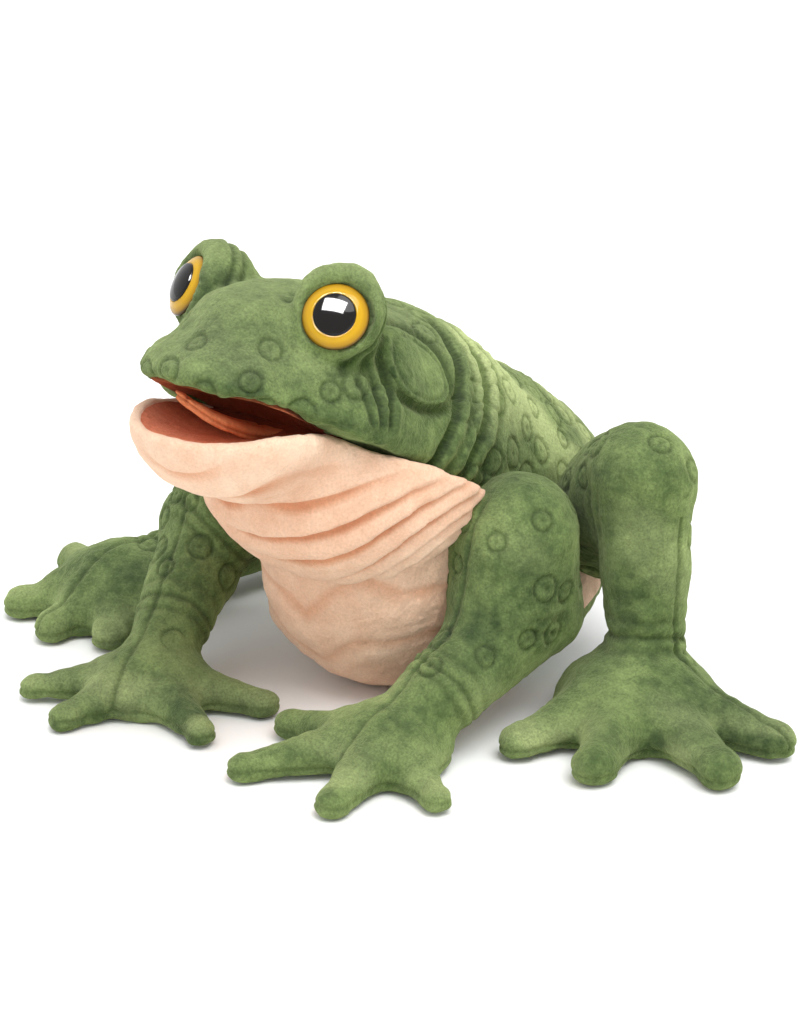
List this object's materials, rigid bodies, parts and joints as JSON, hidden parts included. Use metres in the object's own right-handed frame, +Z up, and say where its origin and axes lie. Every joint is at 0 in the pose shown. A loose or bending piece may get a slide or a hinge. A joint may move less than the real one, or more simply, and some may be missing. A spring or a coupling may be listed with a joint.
{
  "type": "frog hand puppet",
  "caption": "Plush frog hand puppet with a hinged mouth, loose tongue, domed eyes, stuffed jointed legs and a padded sleeve open behind for the hand.",
  "frame": {"origin": "the middle of the flat underside of the belly, on the floor and on the frog's mid-plane", "axes": "+Z up, the frog faces -Y and its left side is +X"},
  "size_m": [0.4164, 0.2887, 0.2168],
  "materials": {
    "green_plush": "short mottled green plush",
    "peach_velour": "smooth peach velour",
    "mouth_cloth": "terracotta brushed cloth",
    "tongue_cloth": "orange brushed cloth",
    "lining_cloth": "plain dark woven lining",
    "wadding": "white polyester fibre",
    "stiffener": "thin flexible sheet",
    "eye_gold": "glossy",
    "eye_black": "glossy",
    "washer_plastic": "moulded"
  },
  "bodies": {
    "torso": {"back_panel": "green_plush", "belly_panel": "peach_velour", "body_padding": "wadding", "sleeve_lining": "lining_cloth", "opening_hem": "green_plush"},
    "neck": {"neck_gusset": "green_plush", "neck_lining": "lining_cloth"},
    "head": {"head_panel": "green_plush", "head_stuffing": "wadding", "finger_pocket": "lining_cloth", "palate_lining": "mouth_cloth", "palate_board": "stiffener", "mouth_hinge_fold": "mouth_cloth", "throat_panel": "peach_velour", "throat_padding": "wadding", "eyelid_left": "green_plush", "eye_iris_left": "eye_gold", "eye_pupil_left": "eye_black", "eye_washer_left": "washer_plastic", "ear_patch_left": "green_plush", "eyelid_right": "green_plush", "eye_iris_right": "eye_gold", "eye_pupil_right": "eye_black", "eye_washer_right": "washer_plastic", "ear_patch_right": "green_plush"},
    "jaw": {"chin_panel": "peach_velour", "chin_stuffing": "wadding", "thumb_pocket": "lining_cloth", "mouth_floor_lining": "mouth_cloth", "jaw_board": "stiffener"},
    "tongue": {"tongue": "tongue_cloth"},
    "upper_arm_left": {"upper_arm_left": "green_plush", "upper_arm_left_stuffing": "wadding"},
    "forearm_left": {"forearm_left": "green_plush", "forearm_left_stuffing": "wadding"},
    "thigh_left": {"thigh_left": "green_plush", "thigh_left_stuffing": "wadding"},
    "shin_left": {"shin_left": "green_plush", "shin_left_stuffing": "wadding"},
    "hand_left": {"hand_left_top": "green_plush", "hand_left_sole": "green_plush", "hand_left_stuffing": "wadding"},
    "foot_left": {"foot_left_top": "green_plush", "foot_left_sole": "green_plush", "foot_left_stuffing": "wadding"},
    "upper_arm_right": {"upper_arm_right": "green_plush", "upper_arm_right_stuffing": "wadding"},
    "forearm_right": {"forearm_right": "green_plush", "forearm_right_stuffing": "wadding"},
    "thigh_right": {"thigh_right": "green_plush", "thigh_right_stuffing": "wadding"},
    "shin_right": {"shin_right": "green_plush", "shin_right_stuffing": "wadding"},
    "hand_right": {"hand_right_top": "green_plush", "hand_right_sole": "green_plush", "hand_right_stuffing": "wadding"},
    "foot_right": {"foot_right_top": "green_plush", "foot_right_sole": "green_plush", "foot_right_stuffing": "wadding"}
  },
  "joints": [
    {"name": "neck_turn", "type": "hinge", "parent": "torso", "child": "neck", "pos_m": [0, -0.022, 0.125], "axis": [0, 0, 1], "range_deg": [-15, 15]},
    {"name": "head_nod", "type": "hinge", "parent": "neck", "child": "head", "pos_m": [0, -0.022, 0.125], "axis": [1, 0, 0], "range_deg": [-10, 12]},
    {"name": "jaw_open", "type": "hinge", "parent": "head", "child": "jaw", "pos_m": [0, -0.082, 0.145], "axis": [1, 0, 0], "range_deg": [-9, 22]},
    {"name": "tongue_lift", "type": "hinge", "parent": "jaw", "child": "tongue", "pos_m": [0, -0.09505, 0.14601], "axis": [-1, 0, 0], "range_deg": [-4.5, 11]},
    {"name": "shoulder_left", "type": "hinge", "parent": "torso", "child": "upper_arm_left", "pos_m": [0.075, -0.004, 0.086], "axis": [-1, 0, 0], "range_deg": [-5, 12]},
    {"name": "elbow_left", "type": "hinge", "parent": "upper_arm_left", "child": "forearm_left", "pos_m": [0.083, 0.01, 0.046], "axis": [-1, 0, 0], "range_deg": [-5, 12]},
    {"name": "wrist_left", "type": "hinge", "parent": "forearm_left", "child": "hand_left", "pos_m": [0.071, -0.054, 0.029], "axis": [-1, 0, 0], "range_deg": [-8, 12]},
    {"name": "hip_left", "type": "hinge", "parent": "torso", "child": "thigh_left", "pos_m": [0.079, 0.069, 0.076], "axis": [1, 0, 0], "range_deg": [-8, 8]},
    {"name": "knee_left", "type": "hinge", "parent": "thigh_left", "child": "shin_left", "pos_m": [0.117, 0.031, 0.115], "axis": [1, 0, 0], "range_deg": [-8, 12]},
    {"name": "ankle_left", "type": "hinge", "parent": "shin_left", "child": "foot_left", "pos_m": [0.122, 0.031, 0.041], "axis": [1, 0, 0], "range_deg": [-10, 8]},
    {"name": "shoulder_right", "type": "hinge", "parent": "torso", "child": "upper_arm_right", "pos_m": [-0.075, -0.004, 0.086], "axis": [-1, 0, 0], "range_deg": [-5, 12]},
    {"name": "elbow_right", "type": "hinge", "parent": "upper_arm_right", "child": "forearm_right", "pos_m": [-0.087, -0.028, 0.06], "axis": [-1, 0, 0], "range_deg": [-5, 12]},
    {"name": "wrist_right", "type": "hinge", "parent": "forearm_right", "child": "hand_right", "pos_m": [-0.074, -0.066, 0.03], "axis": [-1, 0, 0], "range_deg": [-8, 12]},
    {"name": "hip_right", "type": "hinge", "parent": "torso", "child": "thigh_right", "pos_m": [-0.079, 0.078, 0.066], "axis": [1, 0, 0], "range_deg": [-8, 8]},
    {"name": "knee_right", "type": "hinge", "parent": "thigh_right", "child": "shin_right", "pos_m": [-0.124, 0.07, 0.027], "axis": [1, 0, 0], "range_deg": [-8, 12]},
    {"name": "ankle_right", "type": "hinge", "parent": "shin_right", "child": "foot_right", "pos_m": [-0.137, -0.008, 0.023], "axis": [1, 0, 0], "range_deg": [-10, 8]}
  ],
  "couplings": [
    {"joint": "tongue_lift", "follows": "jaw_open", "ratio": 0.5}
  ]
}
